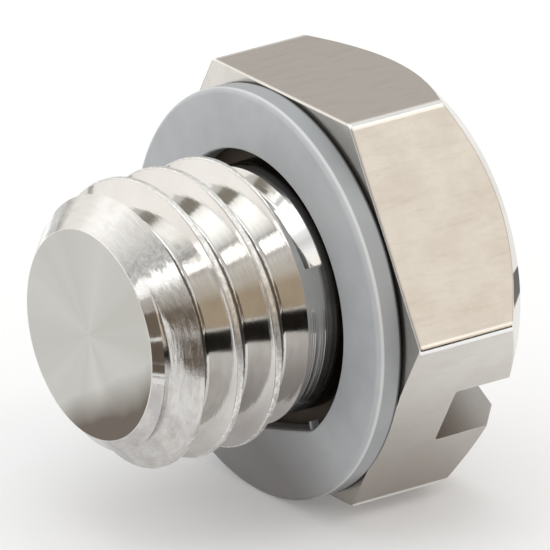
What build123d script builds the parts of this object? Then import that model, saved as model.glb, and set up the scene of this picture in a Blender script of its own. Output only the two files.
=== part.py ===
from build123d import *
import math
import os

# Slotted hexagon plug with a loose sealing washer. It lies on its side, with the
# thread axis level along X, the tip towards -X and one flat of the hexagon up.
# Millimetres. Each piece is first made in a frame of the plug itself: the seating
# face is at height 0, the tip is up, and local Y is the side that ends up on top.

# Thread
thread_major_radius = 2.5
thread_pitch = 0.8
thread_flank_angle = 60.0
thread_depth_share = 0.6134      # depth of an external metric thread, in pitches
thread_root_share = 1 / 6        # width of the flat at the root, in pitches
thread_crest_phase = 0.254       # height of a crest over the seating face, on local X
stud_length = 4.05               # seating face to tip
tip_radius = 1.85                # flat turned end face
tip_chamfer_angle = 45.0         # measured from the thread axis
tip_edge_break = 0.04            # small rounding round the end face
neck_radius = 2.2                # plain turned neck behind the thread
neck_length = 1.07
thread_full_height = 1.22        # from here on the blank has its full radius
groove_start_height = 0.718      # where the cutter runs out into the neck
groove_from_crest = 0.5          # middle of the groove to the next crest, in pitches
cutter_overshoot = 0.05          # how far the cutter stands out of the blank

# Hexagon head
hexagon_sides = 6
across_flats = 7.0
head_height = 2.72
head_corner_radius = 0.1         # broken corners between the flats
head_front_break = 0.04          # small chamfer round the seating face
back_face_radius = 3.18
back_chamfer_angle = 43.0        # measured from the back face

# Screwdriver slot, square to one pair of flats
slot_width = 1.25
slot_depth = 1.46
slot_offset = 0.07               # cut a little off the centre line, towards the lower flat
slot_flat_angle = -30.0          # direction of the slot, from local X
slot_cutter_lengths = 2          # cutter's length, in widths across the flats

# Sealing washer
washer_outer_radius = 3.63
washer_bore_clearance = 0.13     # bore over the thread's outside, on the radius
washer_thickness = 0.5
washer_front_rounding = 0.1
washer_back_rounding = 0.06
washer_bore_rounding = 0.065
washer_flat_distance = 2.36      # flat place in the bore, from the washer's middle
washer_flat_angle = -74.5        # where it looks, from local X
washer_flat_corner = 0.12        # rounding where it runs into the round bore
washer_drop = 0.15               # the loose washer hangs a little low
washer_side_shift = 0.12         # and a little to the far side

# Worked out from the sizes above
thread_depth = thread_depth_share * thread_pitch
thread_root_radius = thread_major_radius - thread_depth
flank_slope = math.tan(math.radians(thread_flank_angle / 2))
tip_chamfer_rise = thread_major_radius - tip_radius
tip_chamfer_length = tip_chamfer_rise / math.tan(math.radians(tip_chamfer_angle))
flat_radius = across_flats / 2
corner_reach = flat_radius / math.cos(math.pi / hexagon_sides)
crown_height = (corner_reach - back_face_radius) * math.tan(math.radians(back_chamfer_angle))
washer_bore_radius = thread_major_radius + washer_bore_clearance
rest_depth = max(flat_radius, washer_outer_radius + washer_drop)     # axis over the lowest point
seat_place = (stud_length - head_height) / 2     # centres the whole length on the origin


def turned_blank():
    """Neck, taper, thread cylinder and tip chamfer, before the thread is cut."""
    with BuildPart() as blank:
        with BuildSketch(Plane.XZ):
            with BuildLine():
                Polyline(
                    (0, 0),
                    (neck_radius, 0),
                    (neck_radius, neck_length),
                    (thread_major_radius, thread_full_height),
                    (thread_major_radius, stud_length - tip_chamfer_length),
                    (tip_radius, stud_length),
                    (0, stud_length),
                    close=True,
                )
            make_face()
        revolve(axis=Axis.Z)
        end_face = blank.faces().sort_by(Axis.Z)[-1]
        fillet(end_face.edges(), tip_edge_break)
    return blank.part


def thread_groove():
    """The helical groove that leaves a right-hand thread."""
    start_turns = (groove_start_height - thread_crest_phase) / thread_pitch - groove_from_crest
    start_angle = 360 * start_turns
    cutter_reach = thread_depth + cutter_overshoot
    root_half = thread_root_share * thread_pitch / 2
    mouth_half = root_half + cutter_reach * flank_slope
    run = stud_length + thread_pitch - groove_start_height
    path = Helix(thread_pitch, run, thread_root_radius)
    section = Polyline(
        (thread_root_radius, 0, -root_half),
        (thread_root_radius + cutter_reach, 0, -mouth_half),
        (thread_root_radius + cutter_reach, 0, mouth_half),
        (thread_root_radius, 0, root_half),
        close=True,
    )
    groove = sweep(make_face(section), path=path, is_frenet=True)
    return Pos(0, 0, groove_start_height) * Rot(0, 0, start_angle) * groove


def threaded_stud():
    return turned_blank() - thread_groove()


def hexagon_prism():
    with BuildPart() as prism:
        with BuildSketch(Plane.XY.offset(-head_height)):
            RegularPolygon(flat_radius, hexagon_sides, major_radius=False)
            fillet(vertices(), head_corner_radius)
        extrude(amount=head_height)
        chamfer(prism.faces().sort_by(Axis.Z)[-1].edges(), head_front_break)
    return prism.part


def head_envelope():
    """Turned form that crowns the back of the hexagon."""
    with BuildPart() as envelope:
        with BuildSketch(Plane.XZ):
            with BuildLine():
                Polyline(
                    (0, -head_height),
                    (back_face_radius, -head_height),
                    (corner_reach, crown_height - head_height),
                    (corner_reach, 0),
                    (0, 0),
                    close=True,
                )
            make_face()
        revolve(axis=Axis.Z)
    return envelope.part


def screwdriver_slot():
    """A block centred on the back face, so that half of it stands clear of the head."""
    cutter = Box(slot_cutter_lengths * across_flats, slot_width, 2 * slot_depth)
    return Rot(0, 0, slot_flat_angle) * Pos(0, -slot_offset, -head_height) * cutter


def hexagon_head():
    return (hexagon_prism() & head_envelope()) - screwdriver_slot()


def plug_body():
    return hexagon_head() + threaded_stud()


def bore_outline():
    """The washer's round bore, with one flat place low down."""
    beyond_flat = Pos(washer_flat_distance + washer_bore_radius, 0)
    with BuildSketch() as bore:
        Circle(washer_bore_radius)
        with Locations(Rot(0, 0, washer_flat_angle) * beyond_flat):
            Rectangle(2 * washer_bore_radius, 2 * washer_bore_radius, mode=Mode.SUBTRACT)
        fillet(bore.vertices(), washer_flat_corner)
    return bore.sketch


def sealing_washer():
    """A plain moulded ring, with its rims softened."""
    with BuildPart() as washer:
        with BuildSketch():
            Circle(washer_outer_radius)
            add(bore_outline(), mode=Mode.SUBTRACT)
        extrude(amount=washer_thickness)
        back_face, *_, front_face = washer.faces().sort_by(Axis.Z)
        bore_rims = back_face.inner_wires()[0].edges() + front_face.inner_wires()[0].edges()
        fillet(front_face.outer_wire().edges(), washer_front_rounding)
        fillet(back_face.outer_wire().edges(), washer_back_rounding)
        fillet(bore_rims, washer_bore_rounding)
    return Pos(-washer_side_shift, -washer_drop, 0) * washer.part


def lay_down(piece):
    """Turn a piece from the plug's own frame to the way the plug lies."""
    seat = Plane(origin=(seat_place, 0, rest_depth), x_dir=(0, -1, 0), z_dir=(-1, 0, 0))
    return seat.location * piece


os.makedirs("parts", exist_ok=True)
export_step(lay_down(plug_body()), "parts/plug_body.step")
export_step(lay_down(sealing_washer()), "parts/sealing_washer.step")
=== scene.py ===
import math

import bmesh
import bpy
from mathutils import Matrix, Vector


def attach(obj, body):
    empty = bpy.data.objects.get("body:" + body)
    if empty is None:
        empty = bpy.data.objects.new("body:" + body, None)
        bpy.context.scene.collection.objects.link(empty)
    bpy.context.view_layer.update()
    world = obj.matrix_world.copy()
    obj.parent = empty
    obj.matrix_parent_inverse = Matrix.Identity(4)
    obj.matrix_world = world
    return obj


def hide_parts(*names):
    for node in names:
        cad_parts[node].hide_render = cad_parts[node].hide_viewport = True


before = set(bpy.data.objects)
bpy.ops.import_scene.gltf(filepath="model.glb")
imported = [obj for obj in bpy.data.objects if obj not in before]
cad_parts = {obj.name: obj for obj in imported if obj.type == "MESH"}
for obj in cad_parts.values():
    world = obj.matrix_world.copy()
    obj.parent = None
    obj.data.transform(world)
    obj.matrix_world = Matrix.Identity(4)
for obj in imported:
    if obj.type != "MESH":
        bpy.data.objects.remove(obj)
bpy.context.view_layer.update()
print("frame loaded")

mm = 0.001
mergeGap = 0.00001          # mm, closes seams and poles, and counts as nought

# The plug is modelled in its own frame, in mm: seating face at height 0, tip up.
# Local X ends up towards the camera side and local Y ends up on top.
plugPlace = {
    "seatX": 0.665, "axisZ": 3.78,
    "turnedSteps": 240,     # facets round every turned surface
    "sharpAngle": 32,       # degrees, edges that turn more than this stay sharp
}


def plugToRow():
    turn = Matrix(((0, 0, -1, 0), (-1, 0, 0, 0), (0, 1, 0, 0), (0, 0, 0, 1)))
    seat = Matrix.Translation((plugPlace["seatX"], 0, plugPlace["axisZ"]))
    return Matrix.Scale(mm, 4) @ seat @ turn


def makeObject(name, bm):
    mesh = bpy.data.meshes.new(name)
    bm.to_mesh(mesh)
    bm.free()
    piece = bpy.data.objects.new(name, mesh)
    bpy.context.scene.collection.objects.link(piece)
    return piece


def applyModifiers(piece):
    bpy.context.view_layer.update()
    graph = bpy.context.evaluated_depsgraph_get()
    shaped = bpy.data.meshes.new_from_object(piece.evaluated_get(graph),
        preserve_all_data_layers=True, depsgraph=graph)
    piece.modifiers.clear()
    old, piece.data = piece.data, shaped
    bpy.data.meshes.remove(old)


def cutWith(piece, tool, operation):
    join = piece.modifiers.new(operation.lower(), "BOOLEAN")
    join.operation = operation
    join.solver = "EXACT"
    join.object = tool
    applyModifiers(piece)
    bpy.data.objects.remove(tool)


def turnProfile(points):
    # a line of (radius, height) points, turned once round the axis
    bm = bmesh.new()
    verts = [bm.verts.new((radius, 0, height)) for radius, height in points]
    edges = [bm.edges.new(pair) for pair in zip(verts, verts[1:])]
    bmesh.ops.spin(bm, geom=verts + edges, cent=(0, 0, 0), axis=(0, 0, 1),
        angle=math.tau, steps=plugPlace["turnedSteps"], use_merge=True)
    bmesh.ops.remove_doubles(bm, verts=bm.verts, dist=mergeGap)
    bmesh.ops.recalc_face_normals(bm, faces=bm.faces)
    return bm


def ringEdges(bm, radius, height):
    # the edges of one circle of a turned shape
    near = 0.001
    return [e for e in bm.edges if all(
        abs(v.co.xy.length - radius) < near and abs(v.co.z - height) < near for v in e.verts)]


def softenEdges(bm, edges, width, segments):
    bmesh.ops.bevel(bm, geom=edges, offset=width, offset_type="OFFSET", segments=segments,
        profile=0.5, affect="EDGES", material=-1, clamp_overlap=False)


# Hexagon head
head = {
    "acrossFlats": 7.0, "height": 2.72, "sides": 6,
    "cornerRadius": 0.1, "frontBreak": 0.04,
    "backRadius": 3.18, "crownAngle": 43.0,
    "slotWidth": 1.25, "slotDepth": 1.46, "slotOffset": 0.07, "slotTurn": -30.0,
    "slotLengths": 4,       # length of the slot's cutter, over the reach of a corner
    "slotFloorRadius": 0.05,
    "edgeRadius": 0.018, "edgeAngle": 26,       # degrees, edges that turn more get rounded
    "spare": 0.4,           # how far cutting shapes stand clear
}


def makeHexagon(reach):
    bm = bmesh.new()
    bmesh.ops.create_circle(bm, cap_ends=True, segments=head["sides"], radius=reach)
    made = bmesh.ops.extrude_face_region(bm, geom=list(bm.faces))
    top = [v for v in made["geom"] if isinstance(v, bmesh.types.BMVert)]
    bmesh.ops.translate(bm, verts=top, vec=(0, 0, head["height"] + head["spare"]))
    bmesh.ops.translate(bm, verts=bm.verts, vec=(0, 0, -head["height"] - head["spare"]))
    highest = max(bm.verts, key=lambda v: v.co.y)
    if abs(highest.co.x) < mergeGap:        # a corner is on top, where a flat has to be
        bmesh.ops.rotate(bm, verts=bm.verts, matrix=Matrix.Rotation(math.pi / head["sides"], 3, "Z"))
    bmesh.ops.recalc_face_normals(bm, faces=bm.faces)
    upright = [e for e in bm.edges if abs(e.verts[0].co.z - e.verts[1].co.z) > head["spare"]]
    cornerWidth = head["cornerRadius"] * math.tan(math.pi / head["sides"])
    softenEdges(bm, upright, cornerWidth, segments=4)
    front = [e for e in bm.edges if all(abs(v.co.z) < mergeGap for v in e.verts)]
    softenEdges(bm, front, head["frontBreak"], segments=3)
    return makeObject("plugBody", bm)


def makeCrown(reach):
    # the turned form that crowns the back of the hexagon
    slope = math.tan(math.radians(head["crownAngle"]))
    wide = reach + head["spare"]
    crown = turnProfile([(0, -head["height"]), (head["backRadius"], -head["height"]),
        (wide, slope * (wide - head["backRadius"]) - head["height"]),
        (wide, head["spare"]), (0, head["spare"])])
    return makeObject("crown", crown)


def makeSlot(reach):
    slot = bmesh.new()
    bmesh.ops.create_cube(slot, size=1)
    bmesh.ops.scale(slot, verts=slot.verts,
        vec=(head["slotLengths"] * reach, head["slotWidth"], 2 * head["slotDepth"]))
    floor = [e for e in slot.edges if all(v.co.z > 0 for v in e.verts)
        and abs(e.verts[0].co.x - e.verts[1].co.x) > reach]
    softenEdges(slot, floor, head["slotFloorRadius"], segments=4)
    bmesh.ops.translate(slot, verts=slot.verts, vec=(0, -head["slotOffset"], -head["height"]))
    bmesh.ops.rotate(slot, verts=slot.verts,
        matrix=Matrix.Rotation(math.radians(head["slotTurn"]), 3, "Z"))
    bmesh.ops.recalc_face_normals(slot, faces=slot.faces)
    return makeObject("slot", slot)


def makeHead():
    reach = head["acrossFlats"] / 2 / math.cos(math.pi / head["sides"])
    piece = makeHexagon(reach)
    cutWith(piece, makeCrown(reach), "INTERSECT")
    cutWith(piece, makeSlot(reach), "DIFFERENCE")
    rounding = piece.modifiers.new("rounding", "BEVEL")
    rounding.width = head["edgeRadius"]
    rounding.segments = 2
    rounding.limit_method = "ANGLE"
    rounding.angle_limit = math.radians(head["edgeAngle"])
    rounding.use_clamp_overlap = False
    applyModifiers(piece)
    return piece


# Threaded stud
stud = {
    "majorRadius": 2.5, "pitch": 0.8, "flankAngle": 60.0,
    "depthShare": 0.6134, "rootShare": 1 / 6, "crestPhase": 0.254,
    "length": 4.05, "tipRadius": 1.85, "tipChamferAngle": 45.0, "tipBreak": 0.04,
    "neckRadius": 2.2, "neckLength": 1.07, "fullHeight": 1.22,
    "grooveStart": 0.718,   # where the groove runs out into the neck
    "grooveFromCrest": 0.5,         # middle of the groove to the next crest, in pitches
    "crestRadius": 0.03, "rootRadius": 0.06,
    "skin": 0.0015,         # the crest's rounding ends this far under the land
    "flareShare": 1.2,      # how wide the cutter flares over the rounding, in widths of it
    "overshoot": 0.08,      # how far the cutter stands out of the stud
    "sink": 0.5,            # how far the stud reaches into the head
}


def makeGroove():
    # half the section, from its root outwards, gives the whole one by symmetry
    slope = math.tan(math.radians(stud["flankAngle"] / 2))
    root = stud["majorRadius"] - stud["depthShare"] * stud["pitch"]
    knee = stud["majorRadius"] - stud["skin"]
    out = stud["majorRadius"] + stud["overshoot"]
    rootBevel, crestBevel = stud["rootRadius"] * slope, stud["crestRadius"] * slope
    rootHalf = stud["rootShare"] * stud["pitch"] / 2
    kneeHalf = rootHalf + (knee - root) * slope
    flareHalf = kneeHalf + crestBevel * stud["flareShare"]
    half = [(root, rootHalf), (knee, kneeHalf), (knee, flareHalf), (out, flareHalf)]
    section = [(r, -z) for r, z in half] + [(r, z) for r, z in reversed(half)]

    bm = bmesh.new()
    verts = [bm.verts.new((r, 0, z)) for r, z in section]
    bm.faces.new(verts)
    rootCorners, kneeCorners = [verts[0], verts[-1]], [verts[1], verts[-2]]
    for corners, width in ((rootCorners, rootBevel), (kneeCorners, crestBevel)):
        bmesh.ops.bevel(bm, geom=corners, offset=width, offset_type="OFFSET",
            segments=4, profile=0.5, affect="VERTICES", material=-1, clamp_overlap=False)
    bmesh.ops.delete(bm, geom=bm.faces, context="FACES_ONLY")
    run = stud["length"] + stud["pitch"] - stud["grooveStart"]
    steps = round(plugPlace["turnedSteps"] * run / stud["pitch"])
    stepAngle = math.tau / plugPlace["turnedSteps"]
    rise = stud["pitch"] / plugPlace["turnedSteps"]
    bmesh.ops.spin(bm, geom=list(bm.verts) + list(bm.edges), cent=(0, 0, 0), axis=(0, 0, 1),
        dvec=(0, 0, rise), angle=stepAngle * steps, steps=steps, use_merge=False)
    bmesh.ops.holes_fill(bm, edges=[e for e in bm.edges if e.is_boundary], sides=0)
    startTurns = (stud["grooveStart"] - stud["crestPhase"]) / stud["pitch"] - stud["grooveFromCrest"]
    bmesh.ops.rotate(bm, verts=bm.verts, matrix=Matrix.Rotation(startTurns * math.tau, 3, "Z"))
    bmesh.ops.translate(bm, verts=bm.verts, vec=(0, 0, stud["grooveStart"]))
    bmesh.ops.recalc_face_normals(bm, faces=bm.faces)
    return makeObject("groove", bm)


def makeStud():
    rise = stud["majorRadius"] - stud["tipRadius"]
    chamfer = rise / math.tan(math.radians(stud["tipChamferAngle"]))
    bm = turnProfile([(0, -stud["sink"]), (stud["neckRadius"], -stud["sink"]),
        (stud["neckRadius"], stud["neckLength"]), (stud["majorRadius"], stud["fullHeight"]),
        (stud["majorRadius"], stud["length"] - chamfer),
        (stud["tipRadius"], stud["length"]), (0, stud["length"])])
    tipWidth = stud["tipBreak"] * math.tan(math.radians(stud["tipChamferAngle"] / 2))
    softenEdges(bm, ringEdges(bm, stud["tipRadius"], stud["length"]), tipWidth, segments=3)
    piece = makeObject("stud", bm)
    cutWith(piece, makeGroove(), "DIFFERENCE")
    return piece


# Sealing washer
washer = {
    "outerRadius": 3.63, "boreRadius": 2.57, "thickness": 0.5,
    "frontRadius": 0.1, "backRadius": 0.06, "boreEdge": 0.04,
    "flatDistance": 2.36, "flatAngle": -74.5,      # flat place in the bore
    "flatCorner": 0.02,     # how softly it runs into the round bore
    "flatSector": 0.5,      # cosine of the angle on either side of it that is looked at
    "drop": 0.15, "sideShift": 0.12,
    # small nib that the mould left on the flat place
    "nibLength": 0.3, "nibWidth": 0.08, "nibThick": 0.16, "nibEdgeShare": 1 / 6,
    "nibAlong": 0.86,       # from the middle of the flat place
    "nibLevel": 0.6,        # its height, in thicknesses of the washer
}


def flattenBore(bm):
    # the bore's own points are drawn in to one straight line low down
    facing = Matrix.Rotation(math.radians(washer["flatAngle"]), 3, "Z") @ Vector((1, 0, 0))
    middle = (washer["boreRadius"] + washer["outerRadius"]) / 2
    for vert in bm.verts:
        radius = vert.co.xy.length
        ahead = vert.co.dot(facing) / radius
        if radius > middle or ahead < washer["flatSector"]:
            continue
        line = (washer["flatDistance"] + radius - washer["boreRadius"]) / ahead
        gap = (line - radius) / washer["flatCorner"]
        blend = washer["flatCorner"] * math.log(1 + math.exp(gap))
        vert.co.xy *= (line - blend) / radius


def hangLow(bm):
    # the loose washer hangs a little low and to the far side
    bmesh.ops.translate(bm, verts=bm.verts, vec=(-washer["sideShift"], -washer["drop"], 0))


def makeNib():
    bm = bmesh.new()
    bmesh.ops.create_cube(bm, size=1)
    bmesh.ops.scale(bm, verts=bm.verts, vec=(washer["nibLength"], washer["nibWidth"], washer["nibThick"]))
    softenEdges(bm, list(bm.edges), washer["nibWidth"] * washer["nibEdgeShare"], segments=2)
    bmesh.ops.translate(bm, verts=bm.verts,
        vec=(washer["flatDistance"], washer["nibAlong"], washer["thickness"] * washer["nibLevel"]))
    turn = Matrix.Rotation(math.radians(washer["flatAngle"]), 3, "Z")
    bmesh.ops.rotate(bm, verts=bm.verts, matrix=turn)
    hangLow(bm)
    return makeObject("nib", bm)


def makeWasher():
    inner, outer, thick = washer["boreRadius"], washer["outerRadius"], washer["thickness"]
    bm = turnProfile([(inner, 0), (outer, 0), (outer, thick), (inner, thick), (inner, 0)])
    rims = ((outer, thick, washer["frontRadius"]), (outer, 0, washer["backRadius"]),
        (inner, thick, washer["boreEdge"]), (inner, 0, washer["boreEdge"]))
    for radius, height, width in rims:
        softenEdges(bm, ringEdges(bm, radius, height), width, segments=6)
    flattenBore(bm)
    hangLow(bm)
    piece = makeObject("sealingWasher", bm)
    cutWith(piece, makeNib(), "UNION")
    return piece


def finishPiece(piece, node):
    piece.data.shade_smooth()
    piece.data.set_sharp_from_angle(angle=math.radians(plugPlace["sharpAngle"]))
    even = piece.modifiers.new("evenShading", "WEIGHTED_NORMAL")     # keeps the flats flat
    even.keep_sharp = True
    applyModifiers(piece)
    piece.data.transform(plugToRow())
    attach(piece, "root")
    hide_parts(node)
    print(piece.name, "faces", len(piece.data.polygons))


plugBody = makeHead()
print("head made")
cutWith(plugBody, makeStud(), "UNION")
finishPiece(plugBody, "plug_body")
sealingWasher = makeWasher()
finishPiece(sealingWasher, "sealing_washer")


class Graph:
    # short ways to add and join the nodes of one material
    def __init__(self, name):
        self.material = bpy.data.materials.new(name)
        self.material.use_nodes = True
        self.tree = self.material.node_tree
        self.shader = self.tree.nodes["Principled BSDF"]

    def add(self, kind, **settings):
        node = self.tree.nodes.new("ShaderNode" + kind)
        for name, value in settings.items():
            setattr(node, name, value)
        return node

    def feed(self, socket, value):
        if isinstance(value, bpy.types.NodeSocket):
            self.tree.links.new(value, socket)
        else:
            socket.default_value = value

    def give(self, name, value):
        self.feed(self.shader.inputs[name], value)

    def math(self, operation, *values):
        node = self.add("Math", operation=operation)
        for socket, value in zip(node.inputs, values):
            self.feed(socket, value)
        return node.outputs[0]

    def times(self, first, second):
        return self.math("MULTIPLY", first, second)

    def vector(self, x, y, z):
        node = self.add("CombineXYZ")
        for socket, value in zip(node.inputs, (x, y, z)):
            self.feed(socket, value)
        return node.outputs[0]

    def place(self):
        # position in mm, measured from the thread axis at the seating face
        coords = self.add("TexCoord")
        mapping = self.add("Mapping")
        mapping.inputs["Location"].default_value = (-plugPlace["seatX"], 0, -plugPlace["axisZ"])
        mapping.inputs["Scale"].default_value = (1 / mm, 1 / mm, 1 / mm)
        self.feed(mapping.inputs["Vector"], coords.outputs["Object"])
        return mapping.outputs[0]

    def split(self, position):
        apart = self.add("SeparateXYZ")
        self.feed(apart.inputs[0], position)
        return apart.outputs

    def turned(self, position):
        # how far from the axis, the direction round it, and the height over the seat
        x, y, z = self.split(position)
        radius = self.math("SQRT", self.math("ADD", self.times(y, y), self.times(z, z)))
        side, up = self.math("DIVIDE", y, radius), self.math("DIVIDE", z, radius)
        return radius, side, up, self.times(x, -1)

    def around(self, side, up, scale, along):
        # a place for noise that runs round the axis
        return self.vector(self.times(side, scale), self.times(up, scale), along)

    def noise(self, vector, scale, detail=3.0, roughness=0.5):
        node = self.add("TexNoise")
        self.feed(node.inputs["Vector"], vector)
        for name, amount in (("Scale", scale), ("Detail", detail), ("Roughness", roughness)):
            node.inputs[name].default_value = amount
        return node.outputs["Fac"]

    def spread(self, value, fromLow, fromHigh, low=0, high=1):
        node = self.add("MapRange")
        self.feed(node.inputs["Value"], value)
        for name, amount in (("From Min", fromLow), ("From Max", fromHigh),
                ("To Min", low), ("To Max", high)):
            self.feed(node.inputs[name], amount)
        return node.outputs[0]

    def within(self, value, firstEdge, secondEdge):
        # one between two soft edges, each given as where it is nought and where it is one
        return self.times(self.spread(value, *firstEdge), self.spread(value, *secondEdge))

    def blend(self, share, first, second):
        node = self.add("Mix", data_type="RGBA")
        self.feed(node.inputs["Factor"], share)
        self.feed(node.inputs["A"], first)
        self.feed(node.inputs["B"], second)
        return node.outputs["Result"]

    def bump(self, height, distance, below=None):
        node = self.add("Bump")
        self.feed(node.inputs["Height"], height)
        node.inputs["Distance"].default_value = distance * mm
        if below:
            self.feed(node.inputs["Normal"], below)
        return node.outputs[0]


# Finishes. Lengths are in mm. Up and side are a direction round the axis, each from -1 to 1, and
# a pair of limits says where a finish is nought and where it is full.
plating = {
    "colour": (0.69, 0.68, 0.66, 1),
    "dull": (0.6, 0.57, 0.53, 1),
    # dark seat and neck inside the washer
    "shaded": (0.075, 0.06, 0.045, 1),
    "shadedRadii": (2.8, 2.74), "shadedStart": (-0.06, -0.03), "shadedEnd": (0.46, 0.38),
}


def metal(name):
    graph = Graph(name)
    graph.give("Metallic", 1.0)
    return graph


def shadeSeat(graph, radius, height):
    # one on the seat and the neck inside the washer, nought elsewhere
    ahead = graph.within(height, plating["shadedStart"], plating["shadedEnd"])
    return graph.times(graph.spread(radius, *plating["shadedRadii"]), ahead)


threadFinish = {
    # painted shade, darker underneath towards the head and in soft streaks on the lower side, and painted
    # light, lighter on top
    "underneath": (0.4, 0.37, 0.36, 1), "underUp": (-0.05, -0.5), "underHeights": (2.9, 2.2),
    "drawn": (0.47, 0.43, 0.42, 1), "streakShadeUp": (0.1, -0.15),
    "light": (0.86, 0.86, 0.83, 1), "lightUp": (0.78, 0.93),
    # painted highlight: a bright tapering place where the first groove runs out, where the shading normal
    # is leant outwards too
    "glint": (0.97, 0.965, 0.96, 1), "glintSlope": 0.7, "glintTaper": (0.3, 0.27),
    "glintHeights": (0.52, 0.56), "glintUp": (0.47, 0.5), "glintSide": (-0.34, -0.5),
    "glintLean": -0.3, "glintOut": 0.95,
    # painted shade in the groove's bottom, in turns from the nearest crest, and where the thread is full
    "rootShade": (0.07, 0.06, 0.05, 1), "rootShadeFrom": (0.45, 0.475), "rootShadeRagged": 0.012,
    "threadStart": (0.95, 1.05), "threadEnd": (3.5, 3.4),
    "nicked": (0.92, 0.91, 0.9, 1), "wornRadii": (2.47, 2.485),
    "neckHeights": (1.2, 1.1), "neckUp": (0.3, 0.1),        # turning lines on the neck
}


def makeThreadMetal():
    # bright plating with fine lines along the turning, nicked crests and painted shade in the groove's
    # bottom
    look = threadFinish
    graph = metal("threadMetal")
    position = graph.place()
    radius, side, up, height = graph.turned(position)
    across = graph.math("ADD", graph.times(height, 16), graph.times(up, 0.9))
    along = graph.vector(graph.times(radius, 16), graph.times(side, 0.9), across)
    streaks = graph.noise(along, 1.0, 4.0, 0.6)
    patches = graph.noise(position, 1.5, 4.0, 0.6)
    clean = graph.blend(graph.spread(patches, 0.42, 0.7, 0, 0.6), plating["colour"], plating["dull"])
    # painted shade on the underside, towards the head
    lower = graph.times(graph.spread(up, *look["underUp"], 0, 0.5),
        graph.spread(height, *look["underHeights"]))
    clean = graph.blend(lower, clean, look["underneath"])
    # painted shade in soft streaks on the lower side
    soft = graph.noise(graph.around(side, up, 1.5, graph.times(height, 7)), 1.0, 3.0, 0.6)
    drawn = graph.times(graph.spread(soft, 0.45, 0.65, 0, 0.45), graph.spread(up, *look["streakShadeUp"]))
    clean = graph.blend(drawn, clean, look["drawn"])
    # painted light on top
    clean = graph.blend(graph.spread(up, *look["lightUp"], 0, 0.4), clean, look["light"])
    # painted highlight where the first groove runs out
    tapering = graph.math("SUBTRACT", height, graph.times(up, look["glintSlope"]))
    glint = graph.spread(tapering, *look["glintTaper"])
    for value, limits in ((height, "glintHeights"), (up, "glintUp"), (side, "glintSide")):
        glint = graph.times(glint, graph.spread(value, *look[limits]))
    clean = graph.blend(glint, clean, look["glint"])

    # how far from the nearest crest, in turns of the thread: half a turn is the groove's bottom
    angle = graph.math("ARCTAN2", up, graph.times(side, -1))
    turns = graph.math("SUBTRACT", graph.times(height, 1 / stud["pitch"]),
        graph.times(angle, 1 / math.tau))
    wrapped = graph.math("FRACT", graph.math("ADD", turns, 0.5 - stud["crestPhase"] / stud["pitch"]))
    fromCrest = graph.math("ABSOLUTE", graph.math("SUBTRACT", wrapped, 0.5))
    chips = graph.noise(graph.around(side, up, 20, graph.times(height, 16)), 1.0, 3.0, 0.7)
    ragged = graph.math("ADD", fromCrest,
        graph.spread(chips, 0.3, 0.7, -look["rootShadeRagged"], look["rootShadeRagged"]))
    # painted shade in the groove's bottom
    rootShade = graph.times(graph.spread(ragged, *look["rootShadeFrom"], 0, 0.9),
        graph.within(height, look["threadStart"], look["threadEnd"]))
    clean = graph.blend(rootShade, clean, look["rootShade"])
    worn = graph.spread(radius, *look["wornRadii"])
    nicked = graph.times(worn, graph.spread(chips, 0.4, 0.6))
    clean = graph.blend(nicked, clean, look["nicked"])

    shaded = shadeSeat(graph, radius, height)
    graph.give("Base Color", graph.blend(shaded, clean, plating["shaded"]))
    dull = graph.math("MAXIMUM", shaded, graph.math("MAXIMUM", worn, rootShade))
    graph.give("Roughness", graph.math("ADD", graph.spread(streaks, 0.3, 0.7, 0.05, 0.12),
        graph.times(dull, 0.3)))
    onNeck = graph.times(graph.spread(height, *look["neckHeights"]), graph.spread(up, *look["neckUp"]))
    lines = graph.noise(graph.vector(height, 0, 0), 13.0, 3.0, 0.6)
    normal = graph.bump(streaks, 0.0016)
    normal = graph.bump(graph.times(chips, worn), 0.006, normal)
    normal = graph.bump(graph.times(lines, onNeck), 0.02, normal)
    # the painted highlight's shading normal is leant outwards and towards the tip
    leaning = graph.vector(look["glintLean"], graph.times(side, look["glintOut"]),
        graph.times(up, look["glintOut"]))
    graph.give("Normal", graph.blend(glint, normal, leaning))
    return graph.material


tipFinish = {
    # lighter and greyer sectors round the centre, a painted fan of highlights
    "light": (0.6, 0.59, 0.56, 1), "grey": (0.52, 0.51, 0.475, 1),
    # painted reflected shade on the lower part, with its edge slanted by the share of side
    "low": (0.15, 0.125, 0.102, 1), "lowLevels": (-1.0, -1.7), "lowSlant": 0.6, "lowRagged": 0.12,
}


def makeTipMetal():
    # faced end: fine rings, a painted fan of highlights round the centre, and painted reflected shade
    # darkening it towards the lower edge
    look = tipFinish
    graph = metal("tipMetal")
    position = graph.place()
    radius, side, up, _ = graph.turned(position)
    rings = graph.noise(graph.vector(graph.times(radius, 30), side, up), 1.0, 3.0, 0.6)
    graph.give("Roughness", graph.spread(rings, 0.3, 0.7, 0.3, 0.38))
    # painted fan of highlights round the centre
    fan = graph.noise(graph.vector(side, up, 0), 1.1, 2.0, 0.5)
    bright = graph.blend(graph.spread(fan, 0.35, 0.65), look["light"], look["grey"])
    cloud = graph.noise(position, 0.9, 2.0, 0.4)
    # painted reflected shade towards the lower edge
    slanted = graph.times(radius, graph.math("ADD", up, graph.times(side, look["lowSlant"])))
    level = graph.math("ADD", slanted,
        graph.spread(cloud, 0.3, 0.7, -look["lowRagged"], look["lowRagged"]))
    graph.give("Base Color", graph.blend(graph.spread(level, *look["lowLevels"]), bright, look["low"]))
    graph.give("Normal", graph.bump(rings, 0.0006))
    return graph.material


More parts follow.
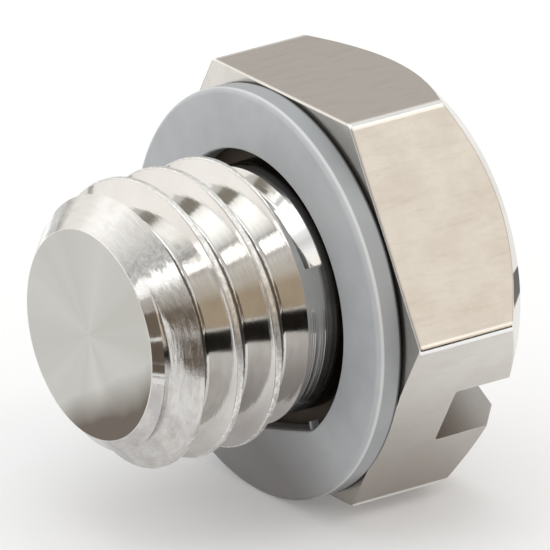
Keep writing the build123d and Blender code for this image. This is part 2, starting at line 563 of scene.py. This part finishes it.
chamferFinish = {
    "scuffed": (0.52, 0.475, 0.43, 1), "scuffedUp": (0.85, 0.4),
    # a speckled grey band beside a painted highlight, and painted shade on the lower side
    "greyBand": (0.38, 0.385, 0.38, 1), "greyBandTop": (0.9, 0.8), "greyBandFoot": (0.71, 0.74),
    "glare": (0.98, 0.98, 0.97, 1), "glareTop": (0.73, 0.7), "glareFoot": (0.57, 0.61),
    "underneath": (0.46, 0.44, 0.445, 1), "underUp": (0.05, -0.3),
    "ragged": 0.04,
}


def makeChamferMetal():
    # lead chamfer, scuffed along the turning
    look = chamferFinish
    graph = metal("chamferMetal")
    position = graph.place()
    radius, side, up, height = graph.turned(position)
    slant = graph.times(graph.math("SUBTRACT", radius, height), 9)
    scuffs = graph.noise(graph.around(side, up, 6, slant), 1.0, 4.0, 0.66)
    broad = graph.noise(position, 2.2, 3.0, 0.6)
    graph.give("Roughness", graph.spread(broad, 0.35, 0.65, 0.12, 0.3))
    rough = graph.spread(up, *look["scuffedUp"], 0.3, 1)
    scuffed = graph.times(graph.spread(scuffs, 0.45, 0.7, 0, 0.8), rough)
    colour = graph.blend(scuffed, plating["colour"], look["scuffed"])
    ragged = graph.math("ADD", up, graph.spread(scuffs, 0.3, 0.7, -look["ragged"], look["ragged"]))
    # a speckled grey band
    greyBand = graph.within(ragged, look["greyBandTop"], look["greyBandFoot"])
    specks = graph.spread(graph.noise(position, 15.0, 4.0, 0.7), 0.35, 0.6, 0.25, 0.9)
    colour = graph.blend(graph.times(greyBand, specks), colour, look["greyBand"])
    # painted highlight, a bright patch beside the grey band
    glare = graph.times(graph.within(ragged, look["glareTop"], look["glareFoot"]), 0.9)
    colour = graph.blend(glare, colour, look["glare"])
    # painted shade on the lower side
    lower = graph.times(graph.spread(up, *look["underUp"]), graph.spread(broad, 0.4, 0.62, 0.1, 0.7))
    graph.give("Base Color", graph.blend(lower, colour, look["underneath"]))
    graph.give("Normal", graph.bump(graph.times(scuffs, rough), 0.008))
    return graph.material


headFinish = {
    "pale": (0.7, 0.675, 0.64, 1), "mottled": (0.66, 0.63, 0.59, 1), "drawn": (0.56, 0.52, 0.48, 1),
    # painted shade towards the bottom, and a painted highlight along the corners
    "underneath": (0.36, 0.325, 0.3, 1), "underLevels": (-0.6, -3.4),
    "corner": (0.95, 0.945, 0.93, 1), "cornerRadii": (3.985, 4.0),
    "matt": (-2.7, -2.715),         # heights, the turned back is more matt
    # short dark mark on the crowned edge of one flat, which looks this many degrees up
    "mark": (0.03, 0.025, 0.02, 1), "markFlat": 30,
    "markReach": (3.48, 3.47), "markHeights": (-2.1, -2.15),
    "markStart": (0.05, 0.07), "markEnd": (0.21, 0.2), "markSide": (-0.9, -0.95),
}


def makeHeadMetal():
    # satin plating on drawn hexagon bar, with a painted highlight along the corners and painted shade
    # towards the bottom
    look = headFinish
    graph = metal("headMetal")
    position = graph.place()
    x, y, z = graph.split(position)
    radius, side, up, height = graph.turned(position)
    mottle = graph.noise(position, 1.3, 5.0, 0.6)
    stretched = graph.vector(graph.times(x, 1.4), graph.times(y, 6), graph.times(z, 6))
    drawn = graph.noise(stretched, 1.0, 5.0, 0.65)
    clean = graph.blend(graph.spread(mottle, 0.38, 0.66), look["pale"], look["mottled"])
    clean = graph.blend(graph.spread(drawn, 0.5, 0.72, 0, 0.35), clean, look["drawn"])
    # painted shade towards the bottom
    clean = graph.blend(graph.spread(z, *look["underLevels"], 0, 0.85), clean, look["underneath"])
    # painted highlight along the corners
    clean = graph.blend(graph.spread(radius, *look["cornerRadii"]), clean, look["corner"])

    tilt = math.radians(look["markFlat"])
    reach = graph.math("SUBTRACT", graph.times(z, math.sin(tilt)), graph.times(y, math.cos(tilt)))
    mark = graph.within(up, look["markStart"], look["markEnd"])
    for value, limits in ((reach, "markReach"), (height, "markHeights"), (side, "markSide")):
        mark = graph.times(mark, graph.spread(value, *look[limits]))
    clean = graph.blend(mark, clean, look["mark"])
    graph.give("Metallic", graph.math("SUBTRACT", 1.0, mark))

    shaded = shadeSeat(graph, radius, height)
    graph.give("Base Color", graph.blend(shaded, clean, plating["shaded"]))
    onBack = graph.spread(height, *look["matt"], 0, 0.4)
    dull = graph.math("MAXIMUM", onBack, graph.math("MAXIMUM", shaded, mark))
    graph.give("Roughness", graph.math("ADD", graph.spread(mottle, 0.3, 0.7, 0.15, 0.22),
        graph.times(dull, 0.35)))
    graph.give("Normal", graph.bump(drawn, 0.0012))
    return graph.material


slotFinish = {
    "mouth": (0.38, 0.365, 0.35, 1), "floor": (0.25, 0.215, 0.18, 1), "inward": (1.4, 2.6),
}


def makeSlotMetal():
    # milled slot, darker and warmer towards its floor with painted shade
    look = slotFinish
    graph = metal("slotMetal")
    position = graph.place()
    x, y, z = graph.split(position)
    stretched = graph.vector(graph.times(x, 22), graph.times(y, 1.5), graph.times(z, 3))
    milled = graph.noise(stretched, 1.0, 3.0, 0.6)
    # painted shade deep in the slot
    inward = graph.spread(x, *look["inward"], 1, 0)
    graph.give("Base Color", graph.blend(inward, look["mouth"], look["floor"]))
    graph.give("Roughness", graph.spread(milled, 0.3, 0.7, 0.3, 0.42))
    graph.give("Normal", graph.bump(milled, 0.004))
    return graph.material


washerFinish = {
    "pale": (0.55, 0.575, 0.6, 1), "grey": (0.485, 0.51, 0.54, 1),
    # a shadow below the stud, leaning by the share of side
    "below": (0.2, 0.185, 0.185, 1), "belowLevels": (1.3, 2.9), "belowLean": 0.5,
    # distances behind the front face, for painted shade on the outside of the rim and a painted highlight
    # on the front ridge; then heights of painted shade at the back, against the head
    "outside": (0.26, 0.28, 0.3, 1), "outsideFrom": (0.1, 0.13),
    "ridge": (0.85, 0.87, 0.9, 1), "ridgeStart": (0.04, 0.07), "ridgeEnd": (0.12, 0.1),
    "back": (0.03, 0.03, 0.03, 1), "backHeights": (0.09, 0.05),
}


def makeWasherPlastic():
    # moulded grey plastic: a painted highlight on the front rim, painted shade on the outside and at the
    # back against the head, and a shadow below the stud
    look = washerFinish
    graph = Graph("washerPlastic")
    position = graph.place()
    x, y, z = graph.split(position)
    height = graph.times(x, -1)
    grain = graph.noise(position, 26.0, 3.0, 0.6)
    cloud = graph.noise(position, 1.1, 4.0, 0.6)
    colour = graph.blend(graph.spread(cloud, 0.35, 0.65), look["pale"], look["grey"])
    below = graph.math("SUBTRACT", graph.times(y, look["belowLean"]), z)
    colour = graph.blend(graph.spread(below, *look["belowLevels"], 0, 0.8), colour, look["below"])
    fromFront = graph.math("SUBTRACT", washer["thickness"], height)
    # painted shade on the outside of the rim
    outside = graph.spread(fromFront, *look["outsideFrom"])
    colour = graph.blend(graph.times(outside, 0.5), colour, look["outside"])
    # painted highlight along the front ridge
    ridge = graph.within(fromFront, look["ridgeStart"], look["ridgeEnd"])
    colour = graph.blend(graph.times(ridge, 0.6), colour, look["ridge"])
    # painted shade at the back, against the head
    graph.give("Base Color", graph.blend(graph.spread(height, *look["backHeights"]), colour, look["back"]))
    graph.give("Roughness", graph.spread(grain, 0.3, 0.7, 0.3, 0.4))
    graph.give("Normal", graph.bump(grain, 0.0016))
    return graph.material


# Which finish a face of the plug gets
parting = {
    "slotTop": -1.2,                # the slot lies behind this height
    "slotSpare": 0.002, "slotFacing": 0.3,
    "headTop": 0.0005,
    "tipFacing": -0.98, "tipDepth": 0.05,
    "chamferDepth": 0.68,           # behind the tip
    # the groove's faces lie deeper than this radius at the seat, less so much for each mm up
    "chamferRadius": 2.9, "chamferTaper": 0.24,
}


def finishOf(face):
    turn = math.radians(head["slotTurn"])
    alongSlot = Vector((0, -math.cos(turn), math.sin(turn)))
    middle = face.center / mm
    height = plugPlace["seatX"] - middle.x
    out, up = -middle.y, middle.z - plugPlace["axisZ"]
    across = abs(up * math.cos(turn) - out * math.sin(turn) + head["slotOffset"])
    inSlot = (across < head["slotWidth"] / 2 + parting["slotSpare"]
        and abs(face.normal.dot(alongSlot)) < parting["slotFacing"])
    fromTip = stud["length"] - height
    shallow = math.hypot(out, up) > parting["chamferRadius"] - parting["chamferTaper"] * height
    if height < parting["slotTop"] and inSlot:
        return "slot"
    if height < parting["headTop"]:
        return "head"
    if face.normal.x < parting["tipFacing"] and fromTip < parting["tipDepth"]:
        return "tip"
    if fromTip < parting["chamferDepth"] and shallow:
        return "chamfer"
    return "thread"


def dressPlug():
    finishes = {"head": makeHeadMetal(), "thread": makeThreadMetal(), "chamfer": makeChamferMetal(),
        "tip": makeTipMetal(), "slot": makeSlotMetal()}
    order = list(finishes)
    plugBody.data.materials.clear()
    for finish in finishes.values():
        plugBody.data.materials.append(finish)
    for face in plugBody.data.polygons:
        face.material_index = order.index(finishOf(face))


dressPlug()
sealingWasher.data.materials.clear()
sealingWasher.data.materials.append(makeWasherPlastic())
print("finishes made")


# Studio: azimuth 0 is towards -Y and 90 towards +X, elevation is over the horizon, in degrees
studio = {
    "floorSize": 6.0, "floorColour": (0.82, 0.83, 0.845, 1),
    "floorGlow": (0.175, 0.175, 0.175, 1),        # what the camera and shiny things see besides
    "away": 1.2,            # m from the object to every lamp and card
    # elevation and colour of the sky behind the object and on its right
    "skyBack": (
        (0, (0.5, 0.475, 0.45, 1)), (22, (0.55, 0.51, 0.475, 1)), (29, (0.8, 0.79, 0.77, 1)),
        (45, (0.92, 0.91, 0.89, 1)), (55, (0.66, 0.65, 0.63, 1)), (64, (0.88, 0.88, 0.87, 1)),
        (74, (1.65, 1.68, 1.68, 1)), (79, (1.7, 1.74, 1.75, 1)), (85, (1.1, 1.11, 1.11, 1)),
    ),
    "skyRight": (
        (0, (0.68, 0.56, 0.42, 1)), (22, (0.74, 0.62, 0.48, 1)), (29, (0.94, 0.88, 0.79, 1)),
        (45, (0.95, 0.93, 0.90, 1)), (55, (0.62, 0.61, 0.60, 1)), (64, (0.85, 0.85, 0.85, 1)),
        (74, (1.6, 1.63, 1.65, 1)), (79, (1.65, 1.69, 1.72, 1)), (85, (1.1, 1.11, 1.11, 1)),
    ),
    "rightAzimuth": 30, "rightLimits": (0.3, 0.65),     # cosines from there, for none and all of it
}
# azimuth, elevation, width and height in degrees, and how bright the lamp looks
lamps = {
    "softLeft": (-140, 24, 84, 42, 0.6),
    "softTop": (120, 76, 50, 20, 0.4),
    "softRight": (52, 34, 26, 22, 0.3),
    "smallRight": (44, 54, 9, 11, 3.0),
    "smallLeft": (-95, 11, 9, 8, 1.5),
    "patchLeft": (-77, 33, 14, 11, 0.55),
}


def direction(azimuth, elevation):
    side, up = math.radians(azimuth), math.radians(elevation)
    return Vector((math.sin(side) * math.cos(up), -math.cos(side) * math.cos(up), math.sin(up)))


def faceMiddle(azimuth, elevation):
    # a place in the studio, turned to look at the object
    toward = direction(azimuth, elevation)
    turn = toward.to_track_quat("Z", "Y").to_matrix().to_4x4()
    return Matrix.Translation(toward * studio["away"]) @ turn


def angleWidth(angle):
    return 2 * studio["away"] * math.tan(math.radians(angle / 2))


def makeLamp(name, azimuth, elevation, width, height, brightness):
    data = bpy.data.lights.new(name, "AREA")
    data.shape = "RECTANGLE"
    data.size, data.size_y = angleWidth(width), angleWidth(height)
    data.energy = brightness * math.pi * data.size * data.size_y
    lamp = bpy.data.objects.new(name, data)
    bpy.context.scene.collection.objects.link(lamp)
    lamp.matrix_world = faceMiddle(azimuth, elevation)


def makeWorld():
    world = bpy.data.worlds.new("studioWorld")
    world.use_nodes = True
    bpy.context.scene.world = world
    tree = world.node_tree
    coords = tree.nodes.new("ShaderNodeTexCoord")
    apart = tree.nodes.new("ShaderNodeSeparateXYZ")
    tree.links.new(coords.outputs["Generated"], apart.inputs[0])
    mix = tree.nodes.new("ShaderNodeMix")
    mix.data_type = "RGBA"
    for socket, name in (("A", "skyBack"), ("B", "skyRight")):
        stops = studio[name]
        ramp = tree.nodes.new("ShaderNodeValToRGB")
        while len(ramp.color_ramp.elements) < len(stops):
            ramp.color_ramp.elements.new(0.5)
        for element, (elevation, colour) in zip(ramp.color_ramp.elements, stops):
            element.position, element.color = math.sin(math.radians(elevation)), colour
        tree.links.new(apart.outputs["Z"], ramp.inputs[0])
        tree.links.new(ramp.outputs[0], mix.inputs[socket])
    toward = tree.nodes.new("ShaderNodeVectorMath")
    toward.operation = "DOT_PRODUCT"
    toward.inputs[1].default_value = direction(studio["rightAzimuth"], 0)
    tree.links.new(coords.outputs["Generated"], toward.inputs[0])
    share = tree.nodes.new("ShaderNodeMapRange")
    for name, limit in zip(("From Min", "From Max"), studio["rightLimits"]):
        share.inputs[name].default_value = limit
    tree.links.new(toward.outputs["Value"], share.inputs["Value"])
    tree.links.new(share.outputs[0], mix.inputs["Factor"])
    tree.links.new(mix.outputs["Result"], tree.nodes["Background"].inputs["Color"])


def makeFloor():
    bm = bmesh.new()
    bmesh.ops.create_grid(bm, x_segments=1, y_segments=1, size=studio["floorSize"] / 2)
    floor = makeObject("floor", bm)
    paper = Graph("floorPaper")
    paper.give("Base Color", studio["floorColour"])
    paper.give("Roughness", 0.9)
    paper.give("Specular IOR Level", 0.2)
    path = paper.add("LightPath")
    seen = paper.math("MAXIMUM", path.outputs["Is Camera Ray"], path.outputs["Is Glossy Ray"])
    paper.give("Emission Color", studio["floorGlow"])
    paper.give("Emission Strength", paper.math("MAXIMUM", seen, path.outputs["Is Transmission Ray"]))
    floor.data.materials.append(paper.material)


# Cards that only shiny things see
cards = {
    "bandStart": -42, "bandEnd": 62,        # azimuths between which the dark table edge shows
    "brownStart": -68,                      # and from which it shows brown
    "bandInner": 0.0112, "bandOuter": 0.1, "bandHeight": 0.00005,     # m
    "bandColour": (0.012, 0.010, 0.008, 1), "brownColour": (0.15, 0.12, 0.095, 1),
}
# azimuth, elevation, width and height in degrees, and the colour of each standing card
walls = {
    "brownWall": (-22, 11, 58, 27, (0.19, 0.155, 0.12, 1)),
    "brownSide": (-64, 3, 28, 28, (0.19, 0.155, 0.12, 1)),
    "topWall": (171, 58, 17, 15, (0.36, 0.33, 0.29, 1)),
}


def finishCard(card, colour):
    cloth = Graph(card.name + "Cloth")
    cloth.give("Base Color", (0, 0, 0, 1))
    cloth.give("Specular IOR Level", 0.0)
    cloth.give("Emission Color", colour)
    cloth.give("Emission Strength", 1.0)
    card.data.materials.append(cloth.material)
    card.visible_camera = card.visible_diffuse = card.visible_shadow = False


def makeBand(name, start, end, colour):
    bm = bmesh.new()
    side = direction(start, 0)
    ends = [bm.verts.new(side * cards[reach]) for reach in ("bandInner", "bandOuter")]
    edge = bm.edges.new(ends)
    bmesh.ops.spin(bm, geom=ends + [edge], cent=(0, 0, 0), axis=(0, 0, 1),
        angle=math.radians(end - start), steps=end - start, use_merge=False)
    bmesh.ops.translate(bm, verts=bm.verts, vec=(0, 0, cards["bandHeight"]))
    bmesh.ops.recalc_face_normals(bm, faces=bm.faces)
    finishCard(makeObject(name, bm), colour)


def makeWall(name, azimuth, elevation, width, tall, colour):
    bm = bmesh.new()
    bmesh.ops.create_grid(bm, x_segments=1, y_segments=1, size=0.5)
    bmesh.ops.scale(bm, verts=bm.verts, vec=(angleWidth(width), angleWidth(tall), 1))
    wall = makeObject(name, bm)
    wall.matrix_world = faceMiddle(azimuth, elevation)
    finishCard(wall, colour)


for lampName, values in lamps.items():
    makeLamp(lampName, *values)
makeWorld()
makeFloor()
makeBand("darkBand", cards["bandStart"], cards["bandEnd"], cards["bandColour"])
makeBand("brownBand", cards["brownStart"], cards["bandStart"], cards["brownColour"])
for wallName, values in walls.items():
    makeWall(wallName, *values)
print("studio made")


# Camera, at the photograph's viewing angle
view = {
    "azimuth": -35.346, "elevation": 21.501, "roll": -0.601,     # degrees
    "distance": 313.72, "lens": 1199.17,        # mm
    "aim": (0.5882, 0.1133, 3.9018),            # mm, the point in the middle of the picture
    "clip": (0.01, 10),                         # m
}


def makeCamera():
    camera = bpy.data.objects.new("camera", bpy.data.cameras.new("camera"))
    bpy.context.scene.collection.objects.link(camera)
    back = direction(view["azimuth"], view["elevation"])
    look = (-back).to_track_quat("-Z", "Y").to_matrix().to_4x4()
    roll = Matrix.Rotation(math.radians(view["roll"]), 4, "Z")
    place = (Vector(view["aim"]) + back * view["distance"]) * mm
    camera.matrix_world = Matrix.Translation(place) @ look @ roll
    camera.data.lens = view["lens"]
    camera.data.clip_start, camera.data.clip_end = view["clip"]
    bpy.context.scene.camera = camera


makeCamera()
bpy.context.scene.view_settings.view_transform = "Standard"
